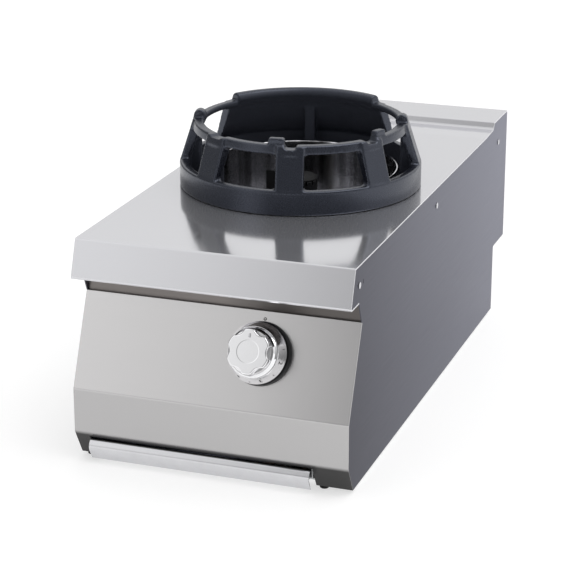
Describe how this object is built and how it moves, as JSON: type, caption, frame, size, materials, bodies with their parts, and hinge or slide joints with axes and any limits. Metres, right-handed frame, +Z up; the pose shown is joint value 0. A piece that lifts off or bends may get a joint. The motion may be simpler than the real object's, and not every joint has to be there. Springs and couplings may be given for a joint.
{
  "type": "wok range",
  "caption": "Counter-top gas wok range: folded stainless casing, cast-iron wok ring, push-and-turn gas knob and a slide-out drip tray.",
  "frame": {"origin": "Bottom centre of the range's bounding box, on the surface that the feet stand on.", "axes": "+X to the right of a cook who faces the range, +Y to the rear along the worktop, +Z up."},
  "size_m": [0.4022, 0.8898, 0.4276],
  "materials": {
    "stainless": "satin",
    "dark_steel": "satin",
    "zinc_steel": "matte",
    "chrome": "polished",
    "cast_iron": "matte",
    "black_plastic": "satin",
    "brass": "satin",
    "copper": "satin",
    "rubber": "matte"
  },
  "bodies": {
    "casing": {"worktop": "stainless", "front_panel": "stainless", "front_crossmember": "dark_steel", "back_panel": "stainless", "side_panel_left": "stainless", "side_panel_right": "stainless", "side_plug_left_1": "dark_steel", "side_plug_left_2": "dark_steel", "side_plug_left_3": "dark_steel", "side_plug_right_1": "dark_steel", "side_plug_right_2": "dark_steel", "side_plug_right_3": "dark_steel", "burner_well": "stainless", "well_floor": "stainless", "burner_body": "cast_iron", "burner_head": "cast_iron", "burner_crossbar": "zinc_steel", "air_shutter": "zinc_steel", "injector": "brass", "injector_holder": "brass", "pilot_burner": "brass", "thermocouple": "zinc_steel", "pilot_bracket": "dark_steel", "knob_bezel": "black_plastic", "index_dot": "black_plastic", "tap_spring": "zinc_steel", "gas_tap": "brass", "tap_bracket": "zinc_steel", "feed_pipe": "copper", "supply_pipe": "zinc_steel", "inlet_connector": "brass", "pipe_saddle": "zinc_steel", "pilot_pipe": "copper", "thermocouple_lead": "copper", "base_rail_left": "zinc_steel", "base_rail_right": "zinc_steel", "foot_front_left": "rubber", "foot_front_right": "rubber", "foot_rear_left": "rubber", "foot_rear_right": "rubber"},
    "tray": {"drip_tray": "stainless", "tray_handle": "chrome"},
    "ring": {"wok_ring": "cast_iron"},
    "cap": {"burner_cap": "cast_iron"},
    "push_stem": {"push_collar": "zinc_steel"},
    "knob": {"knob_grip": "chrome", "knob_skirt": "chrome", "tap_spindle": "brass"}
  },
  "joints": [
    {"name": "tray_slide", "type": "slide", "parent": "casing", "child": "tray", "axis": [0, -1, 0], "range_m": [0, 0.4]},
    {"name": "ring_lift", "type": "slide", "parent": "casing", "child": "ring", "axis": [0, 0, 1], "range_m": [0, 0.15]},
    {"name": "burner_cap_lift", "type": "slide", "parent": "casing", "child": "cap", "axis": [0, 0, 1], "range_m": [0, 0.1]},
    {"name": "knob_push", "type": "slide", "parent": "casing", "child": "push_stem", "axis": [0, 0.9203, -0.3913], "range_m": [0, 0.004], "stiffness_N_per_m": 1200, "springref_m": -0.003, "deforming": ["tap_spring"]},
    {"name": "knob_turn", "type": "hinge", "parent": "push_stem", "child": "knob", "pos_m": [0.065, -0.38355, 0.18208], "axis": [0, -0.9203, 0.3913], "range_deg": [0, 270]}
  ]
}
